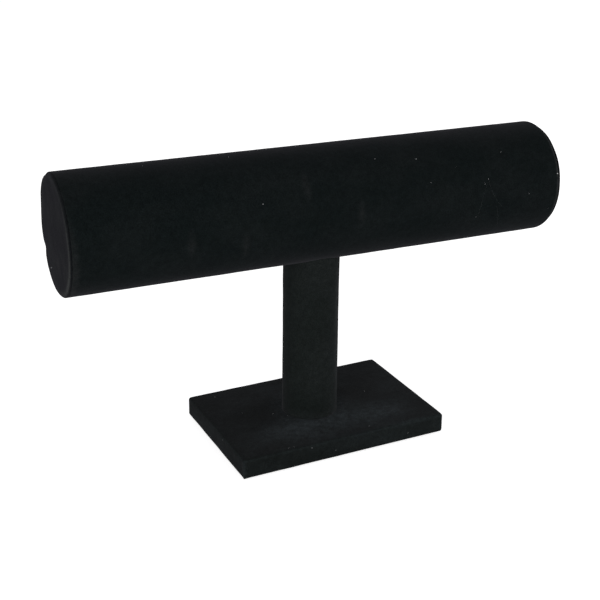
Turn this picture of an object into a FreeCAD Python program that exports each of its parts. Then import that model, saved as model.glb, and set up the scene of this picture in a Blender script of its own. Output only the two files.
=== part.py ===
import FreeCAD, Part
import os
import re

import Sketcher
from FreeCAD import Placement, Rotation, Vector

# A bracelet display stand: a velvet-covered round bar on a short round post and a flat base.
# The origin is on the table under the middle of the bar. +X runs along the bar to the right,
# +Y to the back and +Z up. Lengths are in millimetres and angles in degrees.

# Each driving size: its name in the sheet, its value and what it is.
SIZES = (
    ("bar_length", 225.0, "bar over its two velvet end faces"),
    ("bar_across", 50.0, "bar's diameter over its velvet"),
    ("bar_height", 108.7, "bar's axis above the table"),
    ("velvet", 0.8, "thickness of the velvet sheet"),
    ("end_velvet", 0.9, "thickness of the velvet disc on each end of the bar"),
    ("end_bevel", 0.4, "bevel on that disc's rim, where the pile splays"),
    ("tube_wall", 3.0, "wall of the paper tube in the bar"),
    ("plug_thick", 6.0, "thickness of the disc that closes each end of the tube"),
    ("plug_bevel", 0.8, "lead-in bevel on the plug's inner rim"),
    ("plug_clear", 0.1, "glue gap round the plug"),
    ("seam", 0.4, "open width of a butt seam in a velvet sleeve"),
    ("bar_seam_turn", 38.0, "bar's seam, turned from straight down towards the back"),
    ("post_across", 25.0, "post's diameter over its velvet"),
    ("base_length", 100.0, "base along the bar, over its velvet"),
    ("base_depth", 66.0, "base from front to back, over its velvet"),
    ("board_thick", 7.5, "thickness of the board in the base"),
    ("board_round", 0.6, "rounding of the board's edges and corners"),
    ("base_shift", 2.2, "base's centre to the right of the post, as it was screwed on"),
    ("base_turn", 1.8, "base's turn under the post, as it was screwed on"),
    ("fold_thick", 0.4, "thickness of the velvet pressed flat under the board"),
    ("fold_width", 12.0, "how far the velvet comes in under the base"),
    ("mitre_gap", 0.3, "open width of each mitred corner of that fold"),
    ("underlay_thick", 0.8, "thickness of the underlay inside the fold"),
    ("underlay_margin", 4.0, "velvet left showing round the underlay"),
    ("underlay_corner", 2.0, "corner radius of the underlay"),
    ("screw_across", 3.8, "shank of both screws"),
    ("screw_clear", 0.2, "gap round a shank where it only passes through"),
    ("screw_tip", 5.0, "length of both screws' points"),
    ("recess_width", 1.0, "width of each slot of the cross recess in a screw's head"),
    ("recess_depth", 1.4, "depth of the cross recess"),
    ("recess_span", 4.4, "length of each slot of the cross recess"),
    ("bar_screw_length", 30.0, "bar's screw below its head"),
    ("pan_across", 8.0, "diameter of the pan head"),
    ("pan_tall", 2.6, "height of the pan head"),
    ("pan_bevel", 1.1, "bevel on the pan head's rim"),
    ("seat_depth", 0.5, "how deep the pan head's seat goes into the tube's wall"),
    ("seat_clear", 0.15, "gap round the pan head in its seat"),
    ("base_screw_length", 32.0, "base's screw over all"),
    ("sunk_across", 7.6, "diameter of the countersunk head"),
    ("sunk_depth", 0.3, "how far the countersunk head lies inside the board"),
)

# Sizes that several sub-parts share, as formulas in the names above.
TUBE_ACROSS = "(bar_across - 2 * velvet)"
BORE_ACROSS = "(bar_across - 2 * velvet - 2 * tube_wall)"
SLEEVE_LENGTH = "(bar_length - 2 * end_velvet)"
CORE_ACROSS = "(post_across - 2 * velvet)"
BOARD_LENGTH = "(base_length - 2 * velvet)"
BOARD_DEPTH = "(base_depth - 2 * velvet)"
BASE_TOP = "(underlay_thick + board_thick + velvet)"
SEAT_BELOW_AXIS = "(bar_across / 2 - velvet - tube_wall + seat_depth)"
HOLE_ACROSS = "(screw_across + 2 * screw_clear)"
# The post stands at the origin, so this is where its axis meets the shifted and turned base.
POST_ON_BASE_X = "(-base_shift * cos(base_turn))"
POST_ON_BASE_Y = "(base_shift * sin(base_turn))"

SHEET_NAME = "sizes"
ALIAS = re.compile(r"\b(" + "|".join(name for name, value, note in SIZES) + r")\b")
X_AXIS = Vector(1, 0, 0)
Z_AXIS = Vector(0, 0, 1)

doc = FreeCAD.newDocument("bracelet_stand")


def make_sheet():
    """Writes the driving sizes into the document's sheet, one row each."""
    sheet = doc.addObject("Spreadsheet::Sheet", SHEET_NAME)
    for row, (name, value, note) in enumerate(SIZES, start=1):
        sheet.set(f"A{row}", name)
        sheet.set(f"B{row}", str(value))
        sheet.set(f"C{row}", note)
        sheet.setAlias(f"B{row}", name)
    doc.recompute()


def bind(thing, path, formula):
    """Ties a property or a named constraint to a formula in the sheet's names."""
    thing.setExpression(path, ALIAS.sub(SHEET_NAME + r".\1", formula))


def new_body(name):
    """Adds an empty body for one sub-part."""
    body = doc.addObject("PartDesign::Body", name)
    body.Label = name
    return body


def stand_on_base(body):
    """Gives a piece of the base the base's shift and turn."""
    body.Placement = Placement(Vector(), Rotation(Z_AXIS, 1.0))
    bind(body, "Placement.Base.x", "base_shift")
    bind(body, "Placement.Rotation.Angle", "base_turn")


def new_sketch(body, name, role):
    """Adds a sketch on one of the body's own origin planes."""
    sketch = body.newObject("Sketcher::SketchObject", name)
    plane = next(item for item in body.Origin.OriginFeatures if item.Role == role)
    sketch.AttachmentSupport = (plane, "")
    sketch.MapMode = "FlatFace"
    return sketch


def hold(sketch, label, constraint, formula):
    """Adds a constraint, names it and ties its value to a formula."""
    index = sketch.addConstraint(constraint)
    sketch.renameConstraint(index, label)
    bind(sketch, f"Constraints.{label}", formula)


def draw_circle(sketch, label, across, along="0", up="0"):
    """Draws a circle with its diameter and its centre held by formulas."""
    curve = sketch.addGeometry(Part.Circle(Vector(1, 1, 0), Z_AXIS, 1.0), False)
    hold(sketch, f"{label}_across", Sketcher.Constraint("Diameter", curve, 2.0), across)
    hold(sketch, f"{label}_along", Sketcher.Constraint("DistanceX", -1, 1, curve, 3, 1.0), along)
    hold(sketch, f"{label}_up", Sketcher.Constraint("DistanceY", -1, 1, curve, 3, 1.0), up)


def draw_outline(sketch, label, points):
    """Draws a closed outline of straight lines through points given as pairs of formulas."""
    count = len(points)
    spots = [Vector(index, index * index, 0) for index in range(count)]
    first = None
    for index in range(count):
        line = Part.LineSegment(spots[index], spots[(index + 1) % count])
        added = sketch.addGeometry(line, False)
        first = added if first is None else first
    for index, (along, up) in enumerate(points):
        before = first + (index - 1) % count
        here = first + index
        sketch.addConstraint(Sketcher.Constraint("Coincident", before, 2, here, 1))
        hold(sketch, f"{label}_x{index}", Sketcher.Constraint("DistanceX", -1, 1, here, 1, 1.0), along)
        hold(sketch, f"{label}_y{index}", Sketcher.Constraint("DistanceY", -1, 1, here, 1, 1.0), up)


def draw_rectangle(sketch, label, wide, tall, along="0", up="0"):
    """Draws a rectangle about a centre, its size and centre held by formulas."""
    left, right = f"{along} - {wide} / 2", f"{along} + {wide} / 2"
    low, high = f"{up} - {tall} / 2", f"{up} + {tall} / 2"
    draw_outline(sketch, label, ((left, low), (right, low), (right, high), (left, high)))


def pad(body, name, sketch, length, both_ways=False):
    """Pads a sketch along its normal, or half each way."""
    feature = body.newObject("PartDesign::Pad", name)
    feature.Profile = sketch
    feature.SideType = "Symmetric" if both_ways else "One side"
    bind(feature, "Length", length)
    doc.recompute()
    return feature


def pocket(body, name, sketch, length, forward=False, both_ways=False):
    """Cuts a sketch out of the body, against its normal, along it or half each way."""
    feature = body.newObject("PartDesign::Pocket", name)
    feature.Profile = sketch
    feature.Reversed = forward
    feature.SideType = "Symmetric" if both_ways else "One side"
    bind(feature, "Length", length)
    doc.recompute()
    return feature


def round_edges(body, name, radius, wanted):
    """Rounds the edges of the body's last feature that pass the test."""
    tip = body.Tip
    edges = [f"Edge{number}" for number, edge in enumerate(tip.Shape.Edges, start=1) if wanted(edge)]
    feature = body.newObject("PartDesign::Fillet", name)
    feature.Base = (tip, edges)
    bind(feature, "Radius", radius)
    doc.recompute()
    return feature


def bevel_edges(body, name, size, wanted):
    """Bevels the edges of the body's last feature that pass the test."""
    tip = body.Tip
    edges = [f"Edge{number}" for number, edge in enumerate(tip.Shape.Edges, start=1) if wanted(edge)]
    feature = body.newObject("PartDesign::Chamfer", name)
    feature.Base = (tip, edges)
    bind(feature, "Size", size)
    doc.recompute()
    return feature


def any_edge(edge):
    """Passes every edge."""
    return True


def is_upright(edge):
    """Passes the straight edges that run along Z."""
    box = edge.BoundBox
    return box.ZLength > box.XLength + box.YLength


def is_outer_rim(edge):
    """Passes a rim that lies off the plane X = 0."""
    return edge.BoundBox.YLength > edge.BoundBox.XLength and edge.BoundBox.XMin > 0.0


def is_inner_rim(edge):
    """Passes a rim that lies in the plane X = 0."""
    return edge.BoundBox.YLength > edge.BoundBox.XLength and not is_outer_rim(edge)


def make_bar_tube():
    """The stiff tube in the bar, with the screw's hole and flat seat in its lower wall."""
    body = new_body("bar_tube")
    bind(body, "Placement.Base.z", "bar_height")
    ring = new_sketch(body, "tube_ring", "YZ_Plane")
    draw_circle(ring, "outside", TUBE_ACROSS)
    draw_circle(ring, "bore", BORE_ACROSS)
    pad(body, "tube_wall_pad", ring, SLEEVE_LENGTH, both_ways=True)
    hole = new_sketch(body, "tube_hole", "XY_Plane")
    draw_circle(hole, "hole", HOLE_ACROSS)
    pocket(body, "tube_hole_cut", hole, "bar_across")
    seat = new_sketch(body, "tube_seat", "XY_Plane")
    draw_circle(seat, "seat", "pan_across + 2 * seat_clear")
    pocket(body, "tube_seat_cut", seat, SEAT_BELOW_AXIS)
    return body


def make_bar_cover():
    """The velvet sleeve round the tube, a bent sheet whose edges meet at an open butt seam."""
    body = new_body("bar_cover")
    bind(body, "Placement.Base.z", "bar_height")
    ring = new_sketch(body, "sleeve_ring", "YZ_Plane")
    draw_circle(ring, "outside", "bar_across")
    draw_circle(ring, "inside", TUBE_ACROSS)
    pad(body, "sleeve_pad", ring, SLEEVE_LENGTH, both_ways=True)
    gap = new_sketch(body, "sleeve_seam", "XY_Plane")
    gap.AttachmentOffset = Placement(Vector(), Rotation(X_AXIS, 1.0))
    bind(gap, "AttachmentOffset.Rotation.Angle", "bar_seam_turn")
    draw_rectangle(gap, "seam", "bar_length", "seam")
    pocket(body, "sleeve_seam_cut", gap, "bar_across")
    hole = new_sketch(body, "sleeve_hole", "XY_Plane")
    draw_circle(hole, "hole", HOLE_ACROSS)
    pocket(body, "sleeve_hole_cut", hole, "bar_across")
    return body


def make_end_piece(name, side, sketch_label, across, thick, start):
    """A disc square to the bar, from start outwards; side is 1 at the right end and -1 at the left."""
    body = new_body(name)
    body.Placement = Placement(Vector(), Rotation(Z_AXIS, 0.0 if side > 0 else 180.0))
    bind(body, "Placement.Base.x", f"{side} * {start}")
    bind(body, "Placement.Base.z", "bar_height")
    face = new_sketch(body, sketch_label, "YZ_Plane")
    draw_circle(face, "rim", across)
    pad(body, f"{sketch_label}_pad", face, thick)
    return body


def make_bar_plug(name, side):
    """The disc glued into one end of the tube, flush with the tube's end."""
    start = f"({SLEEVE_LENGTH} / 2 - plug_thick)"
    across = f"({BORE_ACROSS} - 2 * plug_clear)"
    body = make_end_piece(name, side, f"{name}_face", across, "plug_thick", start)
    bevel_edges(body, f"{name}_bevel", "plug_bevel", is_inner_rim)
    return body


def make_bar_end_cover(name, side):
    """The velvet disc over one end of the tube and the sleeve's edge, its rim softened by a bevel."""
    start = f"({SLEEVE_LENGTH} / 2)"
    body = make_end_piece(name, side, f"{name}_face", "bar_across", "end_velvet", start)
    bevel_edges(body, f"{name}_rim", "end_bevel", is_outer_rim)
    return body


def make_cross_recess(body, label, top):
    """Cuts the two crossed slots of a screwdriver recess down into a head whose top is at top."""
    for turn in (0, 90):
        slot = body.newObject("PartDesign::SubtractiveBox", f"{label}_slot_{turn}")
        long_side, short_side = ("Length", "Width") if turn == 0 else ("Width", "Length")
        bind(slot, long_side, "recess_span")
        bind(slot, short_side, "recess_width")
        bind(slot, "Height", "recess_depth")
        span_axis, width_axis = ("x", "y") if turn == 0 else ("y", "x")
        bind(slot, f"Placement.Base.{span_axis}", "-recess_span / 2")
        bind(slot, f"Placement.Base.{width_axis}", "-recess_width / 2")
        bind(slot, "Placement.Base.z", f"{top} - recess_depth")
        doc.recompute()


def spin_profile(body, name, points):
    """Turns a half profile in the body's XZ plane about Z."""
    half = new_sketch(body, f"{name}_half", "XZ_Plane")
    draw_outline(half, "edge", points)
    turned = body.newObject("PartDesign::Revolution", name)
    turned.Profile = half
    turned.ReferenceAxis = (half, ["V_Axis"])
    turned.Angle = 360.0
    doc.recompute()
    return turned


def make_bar_screw():
    """The pan-head wood screw from inside the tube down into the post; its thread is left plain."""
    body = new_body("bar_screw")
    bind(body, "Placement.Base.z", f"bar_height - {SEAT_BELOW_AXIS}")
    shank = "screw_across / 2"
    spin_profile(body, "pan_screw", (
        ("0", "pan_tall"),
        ("0", "-bar_screw_length"),
        (shank, "screw_tip - bar_screw_length"),
        (shank, "0"),
        ("pan_across / 2", "0"),
        ("pan_across / 2", "pan_tall - pan_bevel"),
        ("pan_across / 2 - pan_bevel", "pan_tall"),
    ))
    make_cross_recess(body, "pan", "pan_tall")
    return body


def make_base_screw():
    """The countersunk wood screw from under the board up into the post; its thread is left plain."""
    body = new_body("base_screw")
    body.Placement = Placement(Vector(), Rotation(X_AXIS, 180.0))
    bind(body, "Placement.Base.z", "underlay_thick + sunk_depth")
    shank = "screw_across / 2"
    spin_profile(body, "sunk_screw", (
        ("0", "0"),
        ("0", "-base_screw_length"),
        (shank, "screw_tip - base_screw_length"),
        (shank, "(screw_across - sunk_across) / 2"),
        ("sunk_across / 2", "0"),
    ))
    make_cross_recess(body, "sunk", "0")
    return body


def make_post_core():
    """The turned wooden post, its top scooped out to the bar's round and drilled for both screws."""
    body = new_body("post_core")
    foot = new_sketch(body, "post_foot", "XY_Plane")
    bind(foot, "AttachmentOffset.Base.z", BASE_TOP)
    draw_circle(foot, "post", CORE_ACROSS)
    pad(body, "post_pad", foot, f"bar_height - {BASE_TOP}")
    saddle = new_sketch(body, "post_saddle", "YZ_Plane")
    draw_circle(saddle, "bar", "bar_across", up="bar_height")
    pocket(body, "post_saddle_cut", saddle, "2 * post_across", both_ways=True)
    upper = new_sketch(body, "post_upper_hole", "XY_Plane")
    bind(upper, "AttachmentOffset.Base.z", "bar_height")
    draw_circle(upper, "hole", "screw_across")
    pocket(body, "post_upper_hole_cut", upper, f"{SEAT_BELOW_AXIS} + bar_screw_length")
    lower = new_sketch(body, "post_lower_hole", "XY_Plane")
    draw_circle(lower, "hole", "screw_across")
    depth = "underlay_thick + sunk_depth + base_screw_length"
    pocket(body, "post_lower_hole_cut", lower, depth, forward=True)
    return body


def make_post_cover():
    """The velvet sleeve round the post, from the base's velvet up to the bar's, seamed at the back."""
    body = new_body("post_cover")
    ring = new_sketch(body, "post_ring", "XY_Plane")
    bind(ring, "AttachmentOffset.Base.z", BASE_TOP)
    draw_circle(ring, "outside", "post_across")
    draw_circle(ring, "inside", CORE_ACROSS)
    pad(body, "post_sleeve_pad", ring, f"bar_height - {BASE_TOP}")
    saddle = new_sketch(body, "post_sleeve_saddle", "YZ_Plane")
    draw_circle(saddle, "bar", "bar_across", up="bar_height")
    pocket(body, "post_sleeve_saddle_cut", saddle, "2 * post_across", both_ways=True)
    gap = new_sketch(body, "post_seam", "XZ_Plane")
    draw_rectangle(gap, "seam", "seam", "2 * bar_height")
    pocket(body, "post_seam_cut", gap, "post_across")
    return body


def make_board_blank():
    """The base's board before drilling, all its edges rounded alike."""
    body = new_body("board_blank")
    stand_on_base(body)
    plan = new_sketch(body, "board_plan", "XY_Plane")
    bind(plan, "AttachmentOffset.Base.z", "underlay_thick")
    draw_rectangle(plan, "board", BOARD_LENGTH, BOARD_DEPTH)
    pad(body, "board_pad", plan, "board_thick")
    round_edges(body, "board_arris", "board_round", any_edge)
    return body


def make_base_board(blank):
    """The board, drilled under the post and countersunk from below for the screw."""
    cone = doc.addObject("Part::Cone", "countersink")
    wide = "(sunk_across / 2 + sunk_depth)"
    bind(cone, "Radius1", wide)
    bind(cone, "Radius2", f"{HOLE_ACROSS} / 2")
    bind(cone, "Height", f"{wide} - {HOLE_ACROSS} / 2")
    bind(cone, "Placement.Base.z", "underlay_thick")
    drill = doc.addObject("Part::Cylinder", "board_drill")
    bind(drill, "Radius", f"{HOLE_ACROSS} / 2")
    bind(drill, "Height", f"{BASE_TOP} - underlay_thick")
    bind(drill, "Placement.Base.z", "underlay_thick")
    tools = doc.addObject("Part::Fuse", "board_tools")
    tools.Base = cone
    tools.Tool = drill
    board = doc.addObject("Part::Cut", "base_board")
    board.Label = "base_board"
    board.Base = blank
    board.Tool = tools
    doc.recompute()
    return board


def make_base_cover(blank):
    """The velvet over the board: top, four sides and a fold turned in under the edges."""
    body = new_body("cover_outside")
    stand_on_base(body)
    plan = new_sketch(body, "cover_plan", "XY_Plane")
    bind(plan, "AttachmentOffset.Base.z", "underlay_thick - fold_thick")
    draw_rectangle(plan, "cover", "base_length", "base_depth")
    pad(body, "cover_pad", plan, f"{BASE_TOP} - underlay_thick + fold_thick")
    round_edges(body, "cover_arris", "board_round + velvet", any_edge)
    window = new_sketch(body, "fold_window", "XY_Plane")
    draw_rectangle(window, "fold", "(base_length - 2 * fold_width)", "(base_depth - 2 * fold_width)")
    pocket(body, "fold_window_cut", window, "underlay_thick", forward=True)
    hole = new_sketch(body, "cover_hole", "XY_Plane")
    draw_circle(hole, "hole", HOLE_ACROSS, POST_ON_BASE_X, POST_ON_BASE_Y)
    pocket(body, "cover_hole_cut", hole, f"2 * {BASE_TOP}", forward=True)
    for number, (side, front) in enumerate(((1, 1), (-1, 1), (-1, -1), (1, -1))):
        corner = new_sketch(body, f"mitre_{number}", "XY_Plane")
        near_x, far_x = f"{side} * (base_length / 2 - fold_width)", f"{side} * (base_length / 2 - velvet)"
        near_y, far_y = f"{front} * (base_depth / 2 - fold_width)", f"{front} * (base_depth / 2 - velvet)"
        step_x, step_y = f"{side} * mitre_gap / 2", f"{front} * mitre_gap / 2"
        draw_outline(corner, "mitre", (
            (f"{near_x} - {step_x}", f"{near_y} + {step_y} / 2"),
            (f"{near_x} + {step_x} / 2", f"{near_y} - {step_y}"),
            (far_x, f"{far_y} - {step_y}"),
            (f"{far_x} - {step_x}", far_y),
        ))
        pocket(body, f"mitre_{number}_cut", corner, "underlay_thick", forward=True)
    cover = doc.addObject("Part::Cut", "base_cover")
    cover.Label = "base_cover"
    cover.Base = body
    cover.Tool = blank
    doc.recompute()
    return cover


def make_base_underlay():
    """The glued bottom sheet: thinner where it lies over the velvet's fold, full inside it."""
    body = new_body("base_underlay")
    stand_on_base(body)
    plan = new_sketch(body, "underlay_plan", "XY_Plane")
    wide, deep = "(base_length - 2 * underlay_margin)", "(base_depth - 2 * underlay_margin)"
    draw_rectangle(plan, "sheet", wide, deep)
    pad(body, "underlay_pad", plan, "underlay_thick - fold_thick")
    round_edges(body, "underlay_corners", "underlay_corner", is_upright)
    middle = new_sketch(body, "underlay_middle", "XY_Plane")
    draw_rectangle(middle, "middle", "(base_length - 2 * fold_width)", "(base_depth - 2 * fold_width)")
    pad(body, "underlay_middle_pad", middle, "underlay_thick")
    return body


def export(nodes):
    """Checks the whole document, then writes each sub-part's solid under its own name."""
    doc.recompute()
    for item in doc.Objects:
        if {"Invalid", "Error"} & set(item.State):
            raise RuntimeError(f"{item.Name} failed: {item.State}")
    for node in nodes:
        shape = node.Shape
        if shape.isNull() or not shape.isValid() or len(shape.Solids) != 1:
            raise RuntimeError(f"{node.Label} isn't one valid solid")
    os.makedirs("parts", exist_ok=True)
    for node in nodes:
        node.Shape.exportStep(f"parts/{node.Label}.step")
        box = node.Shape.BoundBox
        print(f"{node.Label}: {node.Shape.Volume:.1f} mm3, z {box.ZMin:.2f} to {box.ZMax:.2f}")


make_sheet()
board_blank = make_board_blank()
export((
    make_bar_tube(),
    make_bar_cover(),
    make_bar_plug("bar_plug_left", -1),
    make_bar_plug("bar_plug_right", 1),
    make_bar_end_cover("bar_end_cover_left", -1),
    make_bar_end_cover("bar_end_cover_right", 1),
    make_bar_screw(),
    make_post_core(),
    make_post_cover(),
    make_base_board(board_blank),
    make_base_cover(board_blank),
    make_base_underlay(),
    make_base_screw(),
))
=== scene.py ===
import logging
import math
from dataclasses import dataclass, field
from enum import Enum
from typing import Callable, Sequence

import bmesh
import bpy
from mathutils import Matrix, Vector, noise
from mathutils.bvhtree import BVHTree


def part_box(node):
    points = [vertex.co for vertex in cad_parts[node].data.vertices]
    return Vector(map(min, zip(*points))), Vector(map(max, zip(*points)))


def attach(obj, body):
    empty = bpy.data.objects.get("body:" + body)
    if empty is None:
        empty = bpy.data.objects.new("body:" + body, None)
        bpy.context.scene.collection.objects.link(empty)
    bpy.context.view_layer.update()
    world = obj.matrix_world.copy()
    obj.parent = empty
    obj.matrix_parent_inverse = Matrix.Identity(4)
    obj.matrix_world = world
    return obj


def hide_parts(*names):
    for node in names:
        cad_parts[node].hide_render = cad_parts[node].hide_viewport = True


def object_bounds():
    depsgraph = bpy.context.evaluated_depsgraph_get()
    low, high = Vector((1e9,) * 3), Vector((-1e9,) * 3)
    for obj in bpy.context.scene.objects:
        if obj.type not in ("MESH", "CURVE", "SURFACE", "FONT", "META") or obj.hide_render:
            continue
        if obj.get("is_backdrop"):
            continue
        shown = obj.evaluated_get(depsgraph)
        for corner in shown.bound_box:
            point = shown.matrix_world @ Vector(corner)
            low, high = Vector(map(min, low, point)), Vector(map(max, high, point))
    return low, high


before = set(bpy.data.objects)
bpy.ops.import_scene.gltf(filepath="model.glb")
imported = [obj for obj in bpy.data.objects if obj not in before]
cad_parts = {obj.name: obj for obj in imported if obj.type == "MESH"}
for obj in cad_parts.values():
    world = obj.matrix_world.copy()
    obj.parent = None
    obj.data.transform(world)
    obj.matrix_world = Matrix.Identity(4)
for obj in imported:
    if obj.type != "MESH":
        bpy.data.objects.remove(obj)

# The looks of a bracelet display stand: a velvet-covered round bar on a round post and a flat base.
# +X runs along the bar to the right, +Y to the back and +Z up. Lengths are in metres.

CAD_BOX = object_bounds()
BODY = "root"
# The vertex attribute that says how far the pile opens.
OPEN_PILE = "open_pile"
MM = 0.001
# How far the pile stands out over the solids.
PILE = 0.2 * MM
# Points that are nearer than this count as one.
SAME_POINT = 0.01 * MM
# A face looks down where its normal's Z is below this.
LOOKS_DOWN = -0.9
# The stretch that nearly all of a cloud noise lies in, and a narrower one for stronger contrast.
CLOUD_SPAN = (0.3, 0.7)
STREAK_SPAN = (0.35, 0.65)
X_AXIS = Vector((1.0, 0.0, 0.0))
Y_AXIS = Vector((0.0, 1.0, 0.0))
Z_AXIS = Vector((0.0, 0.0, 1.0))

Socket = bpy.types.NodeSocket
Material = bpy.types.Material
Piece = bpy.types.Object
BMesh = bmesh.types.BMesh
BMVert = bmesh.types.BMVert
Chain = list[bmesh.types.BMVert | bmesh.types.BMEdge]
Colour = tuple[float, float, float]
Pair = tuple[float, float]
# A stretch of values, from its start to its end.
Span = Pair
# A pixel of the photograph, from its top left corner.
Pixel = Pair

log = logging.getLogger("bracelet_stand")


class Slot(Enum):
    """Material slots of the stand."""

    VELVET = "velvet"
    FELT = "underlay_felt"


class Side(Enum):
    """The two ends of the bar, by the sign of X."""

    LEFT = -1
    RIGHT = 1


def mm(*lengths: float) -> tuple[float, ...]:
    """Turns millimetres into metres."""
    return tuple(length * MM for length in lengths)


# Nodes and links

class Nodes:
    """A node tree, filled one node at a time."""

    def __init__(self, tree: bpy.types.NodeTree) -> None:
        """Takes the tree to fill."""
        self.tree = tree

    def add(self, kind: str, **settings: object) -> bpy.types.Node:
        """Adds a node.

        Args:
            kind: The node's type, without the leading ShaderNode.
            **settings: Properties to set on the node.

        Returns:
            The new node.
        """
        node = self.tree.nodes.new("ShaderNode" + kind)
        for key, value in settings.items():
            setattr(node, key, value)
        return node

    def link(self, source: Socket, target: Socket) -> None:
        """Joins an output to an input."""
        self.tree.links.new(source, target)

    def spread(self, value: Socket, span: Span, result: Span = (0.0, 1.0)) -> Socket:
        """Maps a stretch of values onto another, held at both ends.

        Args:
            value: The value to map.
            span: The two values that give the two results.
            result: The two results.

        Returns:
            The mapped value.
        """
        node = self.add("MapRange", clamp=True)
        for key, number in zip(("From Min", "From Max", "To Min", "To Max"), (*span, *result)):
            node.inputs[key].default_value = number
        self.link(value, node.inputs["Value"])
        return node.outputs["Result"]

    def math(self, operation: str, first: Socket, second: Socket | float) -> Socket:
        """Combines two values.

        Args:
            operation: The Math node's operation.
            first: The first value.
            second: The second value, linked or a number.

        Returns:
            The result.
        """
        node = self.add("Math", operation=operation)
        self.link(first, node.inputs[0])
        if isinstance(second, Socket):
            self.link(second, node.inputs[1])
        else:
            node.inputs[1].default_value = second
        return node.outputs["Value"]

    def seen(self) -> Socket:
        """Gives 1 to the camera, gloss and glass, and 0 to other light.

        Returns:
            The value.
        """
        path = self.add("LightPath")
        gloss = self.math("MAXIMUM", path.outputs["Is Camera Ray"], path.outputs["Is Glossy Ray"])
        return self.math("MAXIMUM", gloss, path.outputs["Is Transmission Ray"])


class Shader(Nodes):
    """A material's node tree."""

    def __init__(self, name: str) -> None:
        """Makes an empty node material.

        Args:
            name: The material's name.
        """
        self.material = bpy.data.materials.new(name)
        self.material.use_nodes = True
        super().__init__(self.material.node_tree)
        self.tree.nodes.clear()
        self.output = self.add("OutputMaterial")

    def mapped(self, scale: Sequence[float], centre: Sequence[float] = (0.0, 0.0, 0.0)) -> Socket:
        """Gives the piece's coordinates about a centre, scaled on each axis.

        Args:
            scale: How many pattern units a metre holds, on each axis.
            centre: The point, in metres, that becomes the pattern's origin.

        Returns:
            The mapped coordinates.
        """
        mapping = self.add("Mapping")
        mapping.inputs["Scale"].default_value = scale
        mapping.inputs["Location"].default_value = [-c * s for c, s in zip(centre, scale)]
        self.link(self.add("TexCoord").outputs["Object"], mapping.inputs["Vector"])
        return mapping.outputs["Vector"]

    def noise(self, *grain: float, detail: float = 2.0, rough: float = 0.5) -> Socket:
        """Adds cloud noise.

        Args:
            *grain: The size of one patch, in metres: one for all axes, or one for each.
            detail: Octaves of finer noise.
            rough: Strength of each finer octave against the last.

        Returns:
            The noise, about 0.5 on average.
        """
        sizes = grain * 3 if len(grain) == 1 else grain
        texture = self.add("TexNoise")
        texture.inputs["Scale"].default_value = 1.0
        texture.inputs["Detail"].default_value = detail
        texture.inputs["Roughness"].default_value = rough
        self.link(self.mapped([1.0 / size for size in sizes]), texture.inputs["Vector"])
        return texture.outputs["Fac"]

    def blend(self, share: Socket, first: Colour, second: Colour) -> Socket:
        """Mixes two colours, going past the second where the share is above 1.

        Args:
            share: Share of the second colour.
            first: The first colour.
            second: The second colour.

        Returns:
            The mixed colour.
        """
        node = self.add("Mix", data_type="RGBA", clamp_factor=False)
        self.link(share, node.inputs["Factor"])
        for key, colour in (("A_Color", first), ("B_Color", second)):
            socket = next(s for s in node.inputs if s.identifier == key)
            socket.default_value = (*colour, 1.0)
        return next(s for s in node.outputs if s.identifier == "Result_Color")

    def bump(
        self, height: Socket, depth: float, strength: float = 1.0, before: Socket | None = None,
    ) -> Socket:
        """Turns a height into a normal.

        Args:
            height: The height, from 0 to 1.
            depth: What a height of 1 stands for, in metres.
            strength: Strength of the effect.
            before: A normal to add it to.

        Returns:
            The new normal.
        """
        node = self.add("Bump")
        node.inputs["Strength"].default_value = strength
        node.inputs["Distance"].default_value = depth
        self.link(height, node.inputs["Height"])
        if before is not None:
            self.link(before, node.inputs["Normal"])
        return node.outputs["Normal"]

    def surface(self, colour: Socket, normal: Socket | None, **fixed: object) -> Material:
        """Finishes the material with one Principled shader.

        Args:
            colour: Its base colour.
            normal: Its normal, if it has one.
            **fixed: Numbers or colours set on the sockets, with spaces as underscores.

        Returns:
            The finished material.
        """
        shader = self.add("BsdfPrincipled")
        self.link(colour, shader.inputs["Base Color"])
        if normal is not None:
            self.link(normal, shader.inputs["Normal"])
        for key, value in fixed.items():
            shader.inputs[key.replace("_", " ")].default_value = value
        self.link(shader.outputs["BSDF"], self.output.inputs["Surface"])
        return self.material


# Finishes

@dataclass(frozen=True)
class Mark:
    """A lighter place, fading out from its centre: pile that lies the light way, also used for painted
    highlights and painted light.

    Attributes:
        centre: Its centre, in metres.
        reach: How far it goes along each axis, in metres.
        strength: How far it goes towards the stroked colour.
        full: Share of the reach up to which it is strongest.
        tuft: Size of the tufts that break it up, in metres.
        tuft_swing: Least and most that a tuft makes of it.
    """

    centre: tuple[float, ...]
    reach: tuple[float, ...]
    strength: float
    full: float = 0.0
    tuft: float = 2.5 * MM
    tuft_swing: Span = (0.2, 1.8)

    def mask(self, shader: Shader) -> Socket:
        """Builds the mark's mask.

        Args:
            shader: The velvet's nodes.

        Returns:
            The mask, from 0 up.
        """
        away = shader.add("VectorMath", operation="LENGTH")
        shader.link(shader.mapped([1.0 / reach for reach in self.reach], self.centre), away.inputs[0])
        fade = shader.spread(away.outputs["Value"], (1.0, self.full), (0.0, self.strength))
        tufts = shader.spread(shader.noise(self.tuft, detail=4.0, rough=0.65), CLOUD_SPAN, self.tuft_swing)
        return shader.math("MULTIPLY", fade, tufts)


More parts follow.
